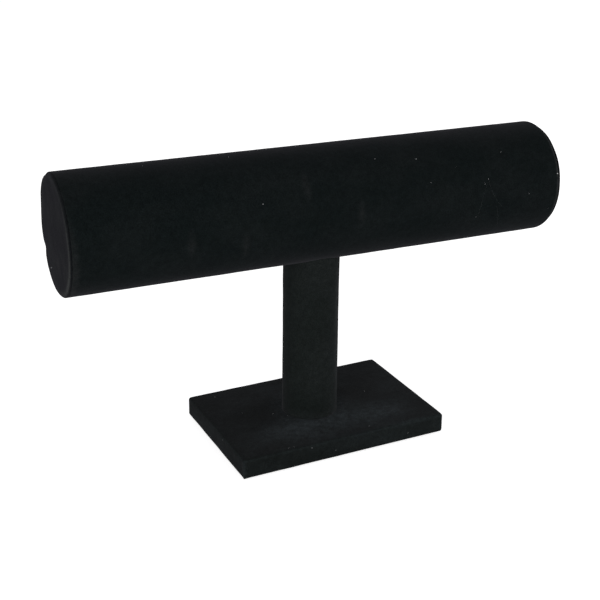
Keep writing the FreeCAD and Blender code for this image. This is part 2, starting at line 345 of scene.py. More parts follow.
@dataclass(frozen=True)
class Velvet:
    """Black flocked velvet: a dark upright pile with a soft sheen at its edges.

    Attributes:
        name: The material's name.
        tone: How light the whole piece is against the bar.
        marks: Lighter places: stroked pile, painted highlights and painted light.
        edge: How far the pile opens over the sheet's bends.
        patchy: How far the soft patches of pile lie the light way.
        deep: Colour looking straight into the pile.
        stroked: Colour where the pile lies the light way, also the colour that the painted highlights and
            painted light go towards.
        patch: Width of the soft patches, in metres.
        patch_long: Their length along the bar against their width.
        patch_span: Stretch of the noise that the patches fade over.
        mottle: Size of the mottling, in metres.
        mottle_swing: Least and most that the mottling makes of the tone.
        tuft: Size of one tuft, in metres.
        tuft_swing: Least and most that a tuft makes of the tone.
        tuft_height: Height of the tufts, in metres.
        wave: Size of the waves in the pile, in metres.
        wave_height: Height of those waves, in metres.
        sheen: Weight of the sheen.
        sheen_rough: Spread of the sheen.
        sheen_tint: Colour of the sheen.
    """

    name: str
    tone: float = 1.0
    marks: tuple[Mark, ...] = ()
    edge: float = 0.35
    patchy: float = 0.3
    deep: Colour = (0.0059, 0.0083, 0.0085)
    stroked: Colour = (0.0168, 0.0184, 0.0191)
    patch: float = 13.0 * MM
    patch_long: float = 1.8
    patch_span: Span = (0.4, 0.7)
    mottle: float = 2.2 * MM
    mottle_swing: Span = (0.86, 1.14)
    tuft: float = 0.45 * MM
    tuft_swing: Span = (0.74, 1.26)
    tuft_height: float = 0.12 * MM
    wave: float = 3.0 * MM
    wave_height: float = 0.25 * MM
    sheen: float = 0.045
    sheen_rough: float = 0.42
    sheen_tint: Colour = (1.0, 0.95, 1.08)

    def dress(self) -> Material:
        """Builds the velvet's material.

        Returns:
            The material.
        """
        shader = Shader(self.name)
        patches = shader.noise(self.patch * self.patch_long, self.patch, self.patch, detail=3.0)
        nap = shader.spread(patches, self.patch_span, (0.0, self.patchy))
        bend = shader.add("Attribute", attribute_name=OPEN_PILE)
        nap = shader.math("ADD", nap, shader.math("MULTIPLY", bend.outputs["Fac"], self.edge))
        for mark in self.marks:
            nap = shader.math("ADD", nap, mark.mask(shader))
        colour = shader.blend(nap, self.deep, self.stroked)
        tufts = shader.noise(self.tuft, detail=1.0)
        mottle = shader.spread(shader.noise(self.mottle, detail=3.0), CLOUD_SPAN, self.mottle_swing)
        grain = shader.math("MULTIPLY", shader.spread(tufts, CLOUD_SPAN, self.tuft_swing), mottle)
        toned = shader.add("VectorMath", operation="SCALE")
        shader.link(colour, toned.inputs[0])
        shader.link(shader.math("MULTIPLY", grain, self.tone), toned.inputs["Scale"])
        waves = shader.noise(self.wave, detail=3.0)
        normal = shader.bump(waves, self.wave_height, strength=0.5)
        normal = shader.bump(tufts, self.tuft_height, strength=0.6, before=normal)
        return shader.surface(
            toned.outputs["Vector"], normal, Roughness=1.0, Specular_IOR_Level=0.0,
            Sheen_Weight=self.sheen, Sheen_Roughness=self.sheen_rough, Sheen_Tint=(*self.sheen_tint, 1.0),
        )


@dataclass(frozen=True)
class Felt:
    """Thin black pressed felt, matted from short fibres.

    Attributes:
        name: The material's name.
        dark: Colour between the fibres.
        light: Colour of the fibres.
        long: Length of one fibre, in metres.
        fine: Thickness of one fibre, in metres.
        span: Stretch of the noise from the dark tone to the light one.
        depth: Depth of the relief, in metres.
    """

    name: str = "underlay_felt"
    dark: Colour = (0.010, 0.010, 0.011)
    light: Colour = (0.030, 0.030, 0.032)
    long: float = 2.0 * MM
    fine: float = 0.5 * MM
    span: Span = (0.4, 0.75)
    depth: float = 0.15 * MM

    def dress(self) -> Material:
        """Builds the felt's material.

        Returns:
            The material.
        """
        shader = Shader(self.name)
        along = shader.noise(self.long, self.fine, self.fine, detail=4.0, rough=0.7)
        across = shader.noise(self.fine, self.long, self.fine, detail=4.0, rough=0.7)
        matted = shader.math("MAXIMUM", along, across)
        colour = shader.blend(shader.spread(matted, self.span), self.dark, self.light)
        return shader.surface(colour, shader.bump(matted, self.depth), Roughness=0.95, Specular_IOR_Level=0.1)


@dataclass(frozen=True)
class Grain:
    """Wood, fibreboard or paper board: two tones in streaks or specks.

    Attributes:
        name: The material's name.
        dark: Colour of the streaks.
        light: Colour between them.
        streak: Size of one streak along each axis, in metres.
        rough: Roughness of the surface.
        depth: Depth of the relief, in metres.
    """

    name: str
    dark: Colour
    light: Colour
    streak: tuple[float, ...]
    rough: float = 0.8
    depth: float = 0.05 * MM

    def dress(self) -> Material:
        """Builds the grained material.

        Returns:
            The material.
        """
        shader = Shader(self.name)
        streaks = shader.noise(*self.streak, detail=5.0, rough=0.6)
        colour = shader.blend(shader.spread(streaks, STREAK_SPAN), self.dark, self.light)
        return shader.surface(colour, shader.bump(streaks, self.depth), Roughness=self.rough)


@dataclass(frozen=True)
class Plated:
    """Zinc-plated screw steel with faint wear.

    Attributes:
        name: The material's name.
        dull: Colour where it is worn.
        bright: Colour where it isn't.
        wear: Size of the worn patches, in metres.
        depth: Depth of the wear, in metres.
    """

    name: str = "zinc_steel"
    dull: Colour = (0.42, 0.42, 0.43)
    bright: Colour = (0.66, 0.66, 0.67)
    wear: float = 1.5 * MM
    depth: float = 0.01 * MM

    def dress(self) -> Material:
        """Builds the plated steel's material.

        Returns:
            The material.
        """
        shader = Shader(self.name)
        wear = shader.noise(self.wear, detail=4.0)
        colour = shader.blend(shader.spread(wear, STREAK_SPAN), self.dull, self.bright)
        return shader.surface(colour, shader.bump(wear, self.depth), Metallic=1.0, Roughness=0.35)


@dataclass(frozen=True)
class Fibre:
    """Lint: two tones in fine grains.

    Attributes:
        name: The material's name.
        dark: Its darker tone.
        light: Its lighter tone.
        grain: Size of one grain, in metres.
        rough: Roughness of the surface.
    """

    name: str
    dark: Colour
    light: Colour
    grain: float = 0.2 * MM
    rough: float = 0.9

    def dress(self) -> Material:
        """Builds the fibre's material.

        Returns:
            The material.
        """
        shader = Shader(self.name)
        tone = shader.spread(shader.noise(self.grain), CLOUD_SPAN)
        return shader.surface(shader.blend(tone, self.dark, self.light), None, Roughness=self.rough)


# Meshes

@dataclass(frozen=True)
class Swelling:
    """Soft unevenness of the pile.

    Attributes:
        size: Size of one swelling, in metres.
        depth: Most that it stands out or in, in metres.
        seed: Offset into the noise.
    """

    size: float
    depth: float
    seed: float

    def at(self, point: Vector) -> float:
        """Gives how far the pile stands out at a point, negative where it stands in."""
        return self.depth * noise.noise(point / self.size + Vector((self.seed, self.seed, self.seed)))


def rise(value: float, start: float, end: float) -> float:
    """Gives a value's share of the way from start to end, held from 0 to 1."""
    return min(max((value - start) / (end - start), 0.0), 1.0)


def quarter_turn(steps: int) -> list[float]:
    """Gives the angles of a quarter turn in equal steps, in radians."""
    return [math.pi / 2.0 * index / steps for index in range(steps + 1)]


def draw_profile(bm: BMesh, points: Sequence[Vector]) -> Chain:
    """Adds a chain of edges through the points.

    Args:
        bm: The mesh to add to.
        points: The chain's corners, in order.

    Returns:
        The new vertices and edges.
    """
    verts = [bm.verts.new(point) for point in points]
    edges = [bm.edges.new(pair) for pair in zip(verts, verts[1:])]
    return verts + edges


def spin(bm: BMesh, chain: Chain, centre: Vector, axis: Vector, angle: float, steps: int) -> None:
    """Spins a chain round an axis, closed where the turn is a whole one.

    Args:
        bm: The mesh.
        chain: The chain's vertices and edges.
        centre: A point on the axis.
        axis: The axis.
        angle: The turn, in radians.
        steps: Steps of the turn.
    """
    bmesh.ops.spin(
        bm, geom=chain, cent=centre, axis=axis, dvec=(0.0, 0.0, 0.0), angle=angle, steps=steps,
        use_merge=math.isclose(angle, math.tau), use_normal_flip=False, use_duplicate=False,
    )


def point_outwards(bm: BMesh, core: Callable[[Vector], Vector]) -> None:
    """Turns an open sheet's faces away from its core.

    Args:
        bm: The mesh.
        core: Gives the core's point that lies under a point of the sheet.
    """
    bm.normal_update()
    middles = [(face.normal, face.calc_center_median()) for face in bm.faces]
    if sum(normal.dot(middle - core(middle)) for normal, middle in middles) < 0.0:
        bmesh.ops.reverse_faces(bm, faces=bm.faces[:])


def open_pile(bm: BMesh, share: Callable[[Vector], float]) -> None:
    """Notes on each vertex how far the pile opens there.

    Args:
        bm: The mesh.
        share: Gives the opening at a point, from 0 up.
    """
    layer = bm.verts.layers.float.new(OPEN_PILE)
    for vert in bm.verts:
        vert[layer] = share(vert.co)


def finish_piece(bm: BMesh, name: str, slot: Slot, material: Material) -> Piece:
    """Turns a mesh into a smooth piece that rides on the stand.

    Args:
        bm: The finished mesh, in the stand's frame. It is freed.
        name: The piece's name.
        slot: Its material slot; not used.
        material: Its material.

    Returns:
        The new object, at the origin.
    """
    mesh = bpy.data.meshes.new(name)
    bm.to_mesh(mesh)
    bm.free()
    mesh.shade_smooth()
    mesh.materials.append(material)
    piece = bpy.data.objects.new(name, mesh)
    bpy.context.scene.collection.objects.link(piece)
    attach(piece, BODY)
    log.info("%s: %d faces", name, len(mesh.polygons))
    return piece


# The bar

@dataclass
class Bar:
    """The bar's velvet sleeve.

    Attributes:
        sheet: Thickness of the velvet with its pile, in metres.
        roll: Rounding of the sleeve's cut edges, in metres.
        roll_steps: Steps of that rounding.
        opened: Where the pile of the cut edges starts to open and is fully open, in rolls from the end.
        seam: Open width of the seam, in metres.
        seam_turn: The seam's turn from straight down towards the back, in radians.
        around: Steps round the bar.
        step: Length of the sleeve's cells, in metres.
        swelling: The unevenness of the pile.
        low: Low corner of the sleeve's solid.
        high: High corner of the sleeve's solid.
    """

    sheet: float = 0.85 * MM
    roll: float = 0.6 * MM
    roll_steps: int = 5
    opened: Span = (1.2, 0.3)
    seam: float = 0.4 * MM
    seam_turn: float = math.radians(38.0)
    around: int = 176
    step: float = 1.5 * MM
    swelling: Swelling = Swelling(9.0 * MM, 0.06 * MM, seed=3.0)
    low: Vector = field(default_factory=lambda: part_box("bar_cover")[0])
    high: Vector = field(default_factory=lambda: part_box("bar_cover")[1])

    @property
    def radius(self) -> float:
        """Radius over the pile."""
        return (self.high.z - self.low.z) / 2.0 + PILE

    @property
    def axis(self) -> Vector:
        """The middle of the bar's axis."""
        return Vector((0.0, 0.0, (self.high.z + self.low.z) / 2.0))

    def on_axis(self, point: Vector) -> Vector:
        """Gives the axis point beside a point."""
        return Vector((point.x, self.axis.y, self.axis.z))

    def profile(self) -> list[Pair]:
        """Gives the sleeve's profile, from one rolled edge to the other.

        Returns:
            Each point's place along the bar and its radius.
        """
        radius, straight = self.radius, self.high.x - self.roll
        turns = quarter_turn(self.roll_steps)[:-1]
        rolled = [
            (self.high.x - self.roll * (1.0 - math.cos(turn)), radius - self.roll * (1.0 - math.sin(turn)))
            for turn in turns
        ]
        count = round(2.0 * straight / self.step)
        cells = [(straight * (1.0 - 2.0 * index / count), radius) for index in range(count + 1)]
        return rolled + cells + [(-along, height) for along, height in reversed(rolled)]

    def sleeve(self, material: Material) -> Piece:
        """Builds the sleeve: a rolled-edge profile spun round the axis, open at the seam.

        Args:
            material: The velvet.

        Returns:
            The sleeve.
        """
        start = Vector((0.0, math.sin(self.seam_turn), -math.cos(self.seam_turn)))
        gap = self.seam / self.radius
        bm = bmesh.new()
        points = [self.axis + X_AXIS * along + start * height for along, height in self.profile()]
        chain = draw_profile(bm, points)
        half_seam = Matrix.Rotation(gap / 2.0, 3, X_AXIS)
        bmesh.ops.rotate(bm, verts=bm.verts[:], cent=self.axis, matrix=half_seam)
        spin(bm, chain, self.axis, X_AXIS, math.tau - gap, self.around)
        point_outwards(bm, self.on_axis)
        for vert in bm.verts:
            out = (vert.co - self.on_axis(vert.co)).normalized()
            vert.co += out * self.swelling.at(vert.co)
        bmesh.ops.solidify(bm, geom=bm.faces[:], thickness=self.sheet)
        starts, full = (self.high.x - rolls * self.roll for rolls in self.opened)
        open_pile(bm, lambda point: rise(abs(point.x), starts, full))
        piece = finish_piece(bm, "bar_velvet", Slot.VELVET, material)
        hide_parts("bar_cover")
        return piece


@dataclass(frozen=True)
class Lump:
    """A stretch of a disc's rim that stands out of its shape, or in where a height is negative.

    Attributes:
        angle: Its middle, in degrees from the back towards the top.
        width: Its half width, in degrees.
        height: How far it stands out of the round, in metres.
        along: How far it stands out along the bar, in metres.
    """

    angle: float
    width: float
    height: float
    along: float = 0.0

    def share(self, angle: float) -> float:
        """Gives how much of the lump there is at an angle, in degrees."""
        away = ((angle - self.angle + 180.0) % 360.0 - 180.0) / self.width
        return math.exp(-away * away)


LEFT_LUMPS = (
    Lump(70.0, 14.0, -0.75 * MM),
    Lump(15.0, 14.0, -0.45 * MM, -0.15 * MM),
    Lump(331.0, 5.0, -0.3 * MM, -0.4 * MM),
    Lump(306.0, 16.0, 0.7 * MM, 0.2 * MM),
    Lump(285.0, 16.0, 0.8 * MM, 0.1 * MM),
)
RIGHT_LUMPS = (
    Lump(95.0, 20.0, -0.5 * MM),
    Lump(152.0, 14.0, 0.3 * MM),
    Lump(240.0, 25.0, -1.0 * MM),
)


@dataclass
class EndDisc:
    """The velvet disc glued over one end of the bar.

    Attributes:
        bar: The bar.
        side: Which end.
        lumps: Where its rim stands out or in.
        dome: How far its face swells, in metres.
        rim: Rounding of its rim, along the bar and across it, in metres.
        rim_steps: Steps of that rounding.
        face_steps: Rings of its face.
        back_rings: Rings of its back, as shares of the flat's radius.
        back_inset: How far its back stays inside its rim, in metres.
        opens: How far in from the rim the pile starts to open and is fully open, in metres.
        closes: How far in from the rim the pile is shut and is fully open, in metres.
        shut: Depth next to the bar in which no pile opens, in metres.
        worn: How far the pile opens all round the rim.
        highlight_side: Side of the rim that gets a painted highlight, on top of the pile's opening.
        highlight_more: How much painted highlight that side gets.
        lumpy: Shares of the radius between which the lumps come in.
        lump_depth: Depth at which the lumps along the bar are fully in, in metres.
        still: Depth next to the bar in which the pile is even, in metres.
        swelling: The unevenness of the pile.
        centre: The middle of its back.
        thick: Its thickness over the pile, in metres.
    """

    bar: Bar
    side: Side
    lumps: Sequence[Lump]
    dome: float = 0.25 * MM
    rim: Pair = (0.8 * MM, 1.3 * MM)
    rim_steps: int = 8
    face_steps: int = 12
    back_rings: tuple[float, ...] = (0.66, 0.33, 0.0)
    back_inset: float = 0.1 * MM
    opens: Span = (3.4 * MM, 1.9 * MM)
    closes: Span = (0.1 * MM, 0.9 * MM)
    shut: float = 0.1 * MM
    worn: float = 0.3
    highlight_side: Vector = Vector((0.0, -0.85, -0.53))
    highlight_more: float = 1.4
    lumpy: Span = (0.7, 1.0)
    lump_depth: float = 0.8 * MM
    still: float = 0.2 * MM
    swelling: Swelling = Swelling(7.0 * MM, 0.1 * MM, seed=11.0)
    centre: Vector = field(init=False)
    thick: float = field(init=False)

    def __post_init__(self) -> None:
        """Reads the disc's place and thickness from its solid."""
        low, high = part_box(f"bar_end_cover_{self.end}")
        inner = high.x if self.side is Side.LEFT else low.x
        self.centre = Vector((inner, self.bar.axis.y, self.bar.axis.z))
        self.thick = high.x - low.x + PILE

    @property
    def end(self) -> str:
        """The end's name, as the nodes have it."""
        return self.side.name.lower()

    def depth(self, point: Vector) -> float:
        """Gives how far a point lies out from the disc's back, along the bar."""
        return abs(point.x - self.centre.x)

    def profile(self) -> list[Pair]:
        """Gives half the disc's profile, from its face's middle over its rim to its back's middle.

        Returns:
            Each point's depth and radius.
        """
        along, across = self.rim
        flat, edge = self.bar.radius - across, self.thick - self.dome
        rings = [index / self.face_steps for index in range(self.face_steps + 1)]
        face = [(self.thick - self.dome * ring * ring, flat * ring) for ring in rings]
        rim = [
            (edge - along * (1.0 - math.cos(turn)), flat + across * math.sin(turn))
            for turn in quarter_turn(self.rim_steps)[1:]
        ]
        back = [(0.0, self.bar.radius - self.back_inset)] + [(0.0, flat * ring) for ring in self.back_rings]
        return face + rim + back

    def cover(self, material: Material) -> Piece:
        """Builds the disc: its half profile spun all the way round.

        Args:
            material: The velvet.

        Returns:
            The disc.
        """
        bm = bmesh.new()
        outwards = X_AXIS * self.side.value
        points = [self.centre + outwards * depth - Z_AXIS * radius for depth, radius in self.profile()]
        spin(bm, draw_profile(bm, points), self.centre, X_AXIS, math.tau, self.bar.around)
        bmesh.ops.remove_doubles(bm, verts=bm.verts[:], dist=SAME_POINT)
        bmesh.ops.recalc_face_normals(bm, faces=bm.faces[:])
        for vert in bm.verts:
            self.settle(vert)
        open_pile(bm, self.opening)
        piece = finish_piece(bm, f"bar_end_velvet_{self.end}", Slot.VELVET, material)
        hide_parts(f"bar_end_cover_{self.end}")
        return piece

    def opening(self, point: Vector) -> float:
        """Gives how far the pile opens at a point: round the rim, with a painted highlight added on the rim's
        lower front side.

        Args:
            point: The point.

        Returns:
            The opening, from 0 up.
        """
        if self.depth(point) < self.shut:
            return 0.0
        arm, radius = point - self.bar.on_axis(point), self.bar.radius
        # Painted highlight: the rim's opening grows towards its lower front side.
        highlight_side = max(arm.normalized().dot(self.highlight_side), 0.0)
        inner = rise(arm.length, *(radius - inset for inset in self.opens))
        outer = rise(arm.length, *(radius - inset for inset in self.closes))
        return inner * outer * (self.worn + self.highlight_more * highlight_side ** 2)

    def settle(self, vert: BMVert) -> None:
        """Moves one vertex by the lumps of the rim and the uneven pile.

        Args:
            vert: The vertex.
        """
        outwards = self.side.value
        arm = vert.co - self.bar.on_axis(vert.co)
        angle = math.degrees(math.atan2(arm.z, arm.y)) % 360.0
        if arm.length > SAME_POINT:
            share = rise(arm.length / self.bar.radius, *self.lumpy)
            height = sum(lump.height * lump.share(angle) for lump in self.lumps)
            along = sum(lump.along * lump.share(angle) for lump in self.lumps)
            free = rise(self.depth(vert.co), 0.0, self.lump_depth)
            vert.co += share * (arm.normalized() * height + X_AXIS * outwards * along * free)
        if self.depth(vert.co) > self.still:
            vert.co.x += outwards * self.swelling.at(vert.co)


# The post

@dataclass
class Post:
    """The post's velvet sleeve, from the base's velvet up to the bar.

    Attributes:
        bar: The bar it carries.
        sheet: Thickness of the velvet with its pile, in metres.
        seam: Open width of the seam at the back, in metres.
        around: Steps round the sleeve.
        rows: Steps up the sleeve.
        flare: How far the pile spreads at the foot, in metres.
        flare_height: How fast that spread ends up the post, in metres.
        foot_pile: Height up to which the pile opens at the foot, in metres.
        tucked: How far the pile is pressed in at the top, in metres.
        lean: How far the sleeve's foot sits to the left, in metres.
        upright: Share of that lean which is gone at the top.
        swelling: The unevenness of the pile.
        low: Low corner of the sleeve's solid.
        high: High corner of the sleeve's solid.
    """

    bar: Bar
    sheet: float = 0.7 * MM
    seam: float = 0.4 * MM
    around: int = 120
    rows: int = 80
    flare: float = 0.25 * MM
    flare_height: float = 1.6 * MM
    foot_pile: float = 5.0 * MM
    tucked: float = 0.8 * PILE
    lean: float = 0.28 * MM
    upright: float = 0.7
    swelling: Swelling = Swelling(8.0 * MM, 0.08 * MM, seed=7.0)
    low: Vector = field(default_factory=lambda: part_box("post_cover")[0])
    high: Vector = field(default_factory=lambda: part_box("post_cover")[1])

    def sleeve(self, material: Material) -> Piece:
        """Builds the sleeve: an upright line spun round the post, its top drawn to the bar's round.

        Args:
            material: The velvet.

        Returns:
            The sleeve.
        """
        radius = (self.high.x - self.low.x) / 2.0 + PILE
        foot = self.low.z
        seat = self.bar.radius - PILE / 2.0
        tall = self.bar.axis.z - seat - foot
        gap = self.seam / radius
        bm = bmesh.new()
        heights = [foot + tall * row / self.rows for row in range(self.rows + 1)]
        chain = draw_profile(bm, [Vector((0.0, radius, height)) for height in heights])
        half_seam = Matrix.Rotation(gap / 2.0, 3, Z_AXIS)
        bmesh.ops.rotate(bm, verts=bm.verts[:], cent=Vector(), matrix=half_seam)
        spin(bm, chain, Vector(), Z_AXIS, math.tau - gap, self.around)
        point_outwards(bm, lambda point: Vector((0.0, 0.0, point.z)))
        for vert in bm.verts:
            out = Vector((vert.co.x, vert.co.y, 0.0)).normalized()
            top = self.bar.axis.z - math.sqrt(seat ** 2 - vert.co.y ** 2)
            share = (vert.co.z - foot) / tall
            vert.co.z = foot + share * (top - foot)
            flared = self.flare * math.exp(-(vert.co.z - foot) / self.flare_height)
            vert.co += out * (flared - self.tucked * share + self.swelling.at(vert.co))
            vert.co.x -= self.lean * (1.0 - self.upright * share)
        flat_area = sum(face.calc_area() for face in bm.faces)
        bmesh.ops.solidify(bm, geom=bm.faces[:], thickness=self.sheet)
        open_pile(bm, lambda point: rise(point.z, foot + self.foot_pile, foot))
        piece = finish_piece(bm, "post_velvet", Slot.VELVET, material)
        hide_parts("post_cover")
        return piece


# The base

# How far the folded velvet stands out at each upright corner, by the signs of X and Y, in metres.
PLEATS = {(-1, -1): 0.4 * MM, (1, -1): -0.3 * MM, (-1, 1): -0.3 * MM, (1, 1): -0.2 * MM}


@dataclass
class Base:
    """The base's velvet, wrapped over the board and folded in under it.

    Attributes:
        length: Along the bar, in metres.
        depth: From front to back, in metres.
        turn: Its turn under the post, in radians.
        rounding: Height of the rounding of its upper edges, in metres.
        corner: Rounding of its upright corners, in metres.
        round_steps: Steps of the rounding.
        sheet: Thickness of the velvet with its pile, in metres.
        opens: How fast the pile opens over a bend.
        fold: How far the velvet comes in under the board, in metres.
        fold_sheet: Thickness of the pressed fold, in metres.
        pressed: Where the fold is pressed: in from the sides and up from below, in sheets.
        mitre: Depth of the line pressed in where the fold's edges meet at a corner, in metres.
        mitre_half: Half the width of that line, in metres.
        pleat_width: Half width of a corner's pleat, in metres.
        pleat_reach: How far a pleat is felt past the corner's rounding, in metres.
        pleat_below: Depth under the top at which a proud pleat is full, in roundings.
        cell: Size of the mesh's cells, in metres.
        side_cells: Cells up a side.
        still: Height over the table up to which the pile is even, in metres.
        swelling: The unevenness of the pile.
        low: Low corner of the wrap's solid.
        high: High corner of the wrap's solid.
    """

    length: float = 100.0 * MM
    depth: float = 66.0 * MM
    turn: float = math.radians(1.8)
    rounding: float = 1.4 * MM
    corner: float = 0.8 * MM
    round_steps: int = 6
    sheet: float = 0.85 * MM
    opens: float = 1.4
    fold: float = 12.0 * MM
    fold_sheet: float = 0.38 * MM
    pressed: Pair = (1.5, 1.2)
    mitre: float = 0.3 * MM
    mitre_half: float = 0.2 * MM
    pleat_width: float = 0.7 * MM
    pleat_reach: float = 1.0 * MM
    pleat_below: float = 1.5
    cell: float = 1.6 * MM
    side_cells: int = 5
    still: float = 0.2 * MM
    swelling: Swelling = Swelling(11.0 * MM, 0.1 * MM, seed=5.0)
    low: Vector = field(default_factory=lambda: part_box("base_cover")[0])
    high: Vector = field(default_factory=lambda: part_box("base_cover")[1])

    @property
    def place(self) -> Matrix:
        """Takes the base's own coordinates to the stand's."""
        middle = (self.low + self.high) / 2.0
        return Matrix.Translation((middle.x, middle.y, 0.0)) @ Matrix.Rotation(self.turn, 4, Z_AXIS)

    @property
    def half(self) -> Vector:
        """Half the base's length and depth over the pile, and the height of its top."""
        return Vector((self.length / 2.0 + PILE, self.depth / 2.0 + PILE, self.high.z + PILE))

    def past_fold(self, point: Vector) -> float:
        """Gives how far in past the end of the fold a point is, negative over the fold."""
        return min(self.length / 2.0 - self.fold - abs(point.x), self.depth / 2.0 - self.fold - abs(point.y))

    def wrap(self, material: Material) -> Piece:
        """Builds the wrapped velvet: a rounded slab, open underneath inside its fold.

        Args:
            material: The velvet.

        Returns:
            The wrap.
        """
        bm = bmesh.new()
        self.round_slab(bm)
        self.cut_cells(bm)
        under = [face for face in bm.faces if face.normal.z < LOOKS_DOWN]
        window = [face for face in under if self.past_fold(face.calc_center_median()) > 0.0]
        bmesh.ops.delete(bm, geom=window, context="FACES")
        bm.normal_update()
        for vert in bm.verts:
            self.settle(vert)
        flat_area = sum(face.calc_area() for face in bm.faces)
        bmesh.ops.solidify(bm, geom=bm.faces[:], thickness=self.sheet)
        self.press_fold(bm)
        open_pile(bm, self.opening)
        bmesh.ops.transform(bm, matrix=self.place, verts=bm.verts[:])
        piece = finish_piece(bm, "base_velvet", Slot.VELVET, material)
        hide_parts("base_cover")
        return piece

    def round_slab(self, bm: BMesh) -> None:
        """Makes the slab, its upper edges rounded more than its corners and its lower edges.

        Args:
            bm: The empty mesh.
        """
        half, tall = self.half, self.half.z - self.low.z
        flatten = self.corner / self.rounding
        bmesh.ops.create_cube(bm, size=1.0)
        bmesh.ops.scale(bm, vec=(2.0 * half.x / flatten, 2.0 * half.y / flatten, tall), verts=bm.verts[:])
        bmesh.ops.translate(bm, vec=(0.0, 0.0, self.low.z + tall / 2.0), verts=bm.verts[:])
        bmesh.ops.bevel(
            bm, geom=bm.edges[:], offset=self.rounding, offset_type="OFFSET", affect="EDGES",
            segments=self.round_steps, profile=0.5, material=-1,
        )
        bmesh.ops.scale(bm, vec=(flatten, flatten, 1.0), verts=bm.verts[:])
        for vert in bm.verts:
            if vert.co.z < self.low.z + self.rounding:
                vert.co.z = self.low.z + (vert.co.z - self.low.z) * flatten

    def cut_cells(self, bm: BMesh) -> None:
        """Cuts the slab's flats into small cells, with lines where the fold ends.

        Args:
            bm: The slab.
        """
        half = self.half
        cuts = [(X_AXIS, sign * (self.length / 2.0 - self.fold)) for sign in (-1.0, 1.0)]
        cuts += [(Y_AXIS, sign * (self.depth / 2.0 - self.fold)) for sign in (-1.0, 1.0)]
        for normal, reach in ((X_AXIS, half.x - self.corner), (Y_AXIS, half.y - self.corner)):
            count = round(2.0 * reach / self.cell)
            cuts += [(normal, -reach + 2.0 * reach * index / count) for index in range(1, count)]
        low, high = self.low.z + self.corner, half.z - self.rounding
        rows = range(1, self.side_cells)
        cuts += [(Z_AXIS, low + (high - low) * row / self.side_cells) for row in rows]
        for normal, away in cuts:
            bmesh.ops.bisect_plane(
                bm, geom=bm.verts[:] + bm.edges[:] + bm.faces[:], dist=SAME_POINT,
                plane_co=normal * away, plane_no=normal,
            )
        for signs in PLEATS:
            self.cut_mitre(bm, Vector((*signs, 0.0)))

    def cut_mitre(self, bm: BMesh, signs: Vector) -> None:
        """Cuts the middle and the two sides of a mitre line into one corner of the fold.

        Args:
            bm: The slab, its flats cut into cells.
            signs: The corner, by the signs of X and Y.
        """
        bm.normal_update()
        corner = Vector((signs.x * (self.half.x - self.corner), signs.y * (self.half.y - self.corner), 0.0))
        across = Vector((signs.x, -signs.y, 0.0)).normalized()
        beside = 2.0 * self.cell
        for shift in (-self.mitre_half, 0.0, self.mitre_half):
            under = [(face, face.calc_center_median()) for face in bm.faces if face.normal.z < LOOKS_DOWN]
            near = [
                face for face, middle in under
                if middle.dot(signs) > 0.0 and self.past_fold(middle) < 0.0
                and abs((middle - corner).dot(across)) < beside
            ]
            edges = {edge for face in near for edge in face.edges}
            verts = {vert for face in near for vert in face.verts}
            bmesh.ops.bisect_plane(
                bm, geom=[*verts, *edges, *near], dist=SAME_POINT,
                plane_co=corner + across * shift, plane_no=across,
            )

    def settle(self, vert: BMVert) -> None:
        """Gives one vertex the mitres, the corner pleats and the unevenness of hand-wrapped velvet.

        Args:
            vert: The vertex, in the base's own coordinates.
        """
        half = self.half
        if vert.co.z > self.low.z + self.still:
            vert.co += vert.normal * self.swelling.at(vert.co)
        past = (abs(vert.co.x) - half.x + self.corner, abs(vert.co.y) - half.y + self.corner)
        if vert.co.z < self.low.z + SAME_POINT and abs(past[0] - past[1]) < 2.0 * SAME_POINT:
            vert.co.z += self.mitre
        if min(past) > -self.pleat_reach:
            signs = (int(math.copysign(1.0, vert.co.x)), int(math.copysign(1.0, vert.co.y)))
            ridge = math.exp(-((past[0] - past[1]) / self.pleat_width) ** 2)
            full_below = half.z - self.pleat_below * self.rounding
            share = rise(vert.co.z, half.z, full_below) if PLEATS[signs] > 0.0 else 1.0
            vert.co += Vector((*signs, 0.0)).normalized() * PLEATS[signs] * ridge * share

    def press_fold(self, bm: BMesh) -> None:
        """Presses the fold under the board thinner than the rest of the sheet.

        Args:
            bm: The sheet, with its thickness.
        """
        half = self.half
        inwards, upwards = (share * self.sheet for share in self.pressed)
        for vert in bm.verts:
            from_side = min(half.x - abs(vert.co.x), half.y - abs(vert.co.y))
            if vert.co.z < self.low.z + upwards and from_side > inwards:
                vert.co.z = min(vert.co.z, self.low.z + self.fold_sheet)

    def opening(self, point: Vector) -> float:
        """Gives how far the pile opens at a point, from 0 on the flats to 1 over an edge.

        Args:
            point: The point, in the base's own coordinates.

        Returns:
            The opening.
        """
        half = self.half
        shares = sorted((
            rise(abs(point.x), half.x - self.corner, half.x),
            rise(abs(point.y), half.y - self.corner, half.y),
            rise(point.z, half.z - self.rounding, half.z),
        ))
        return min(shares[1] * self.opens, 1.0)


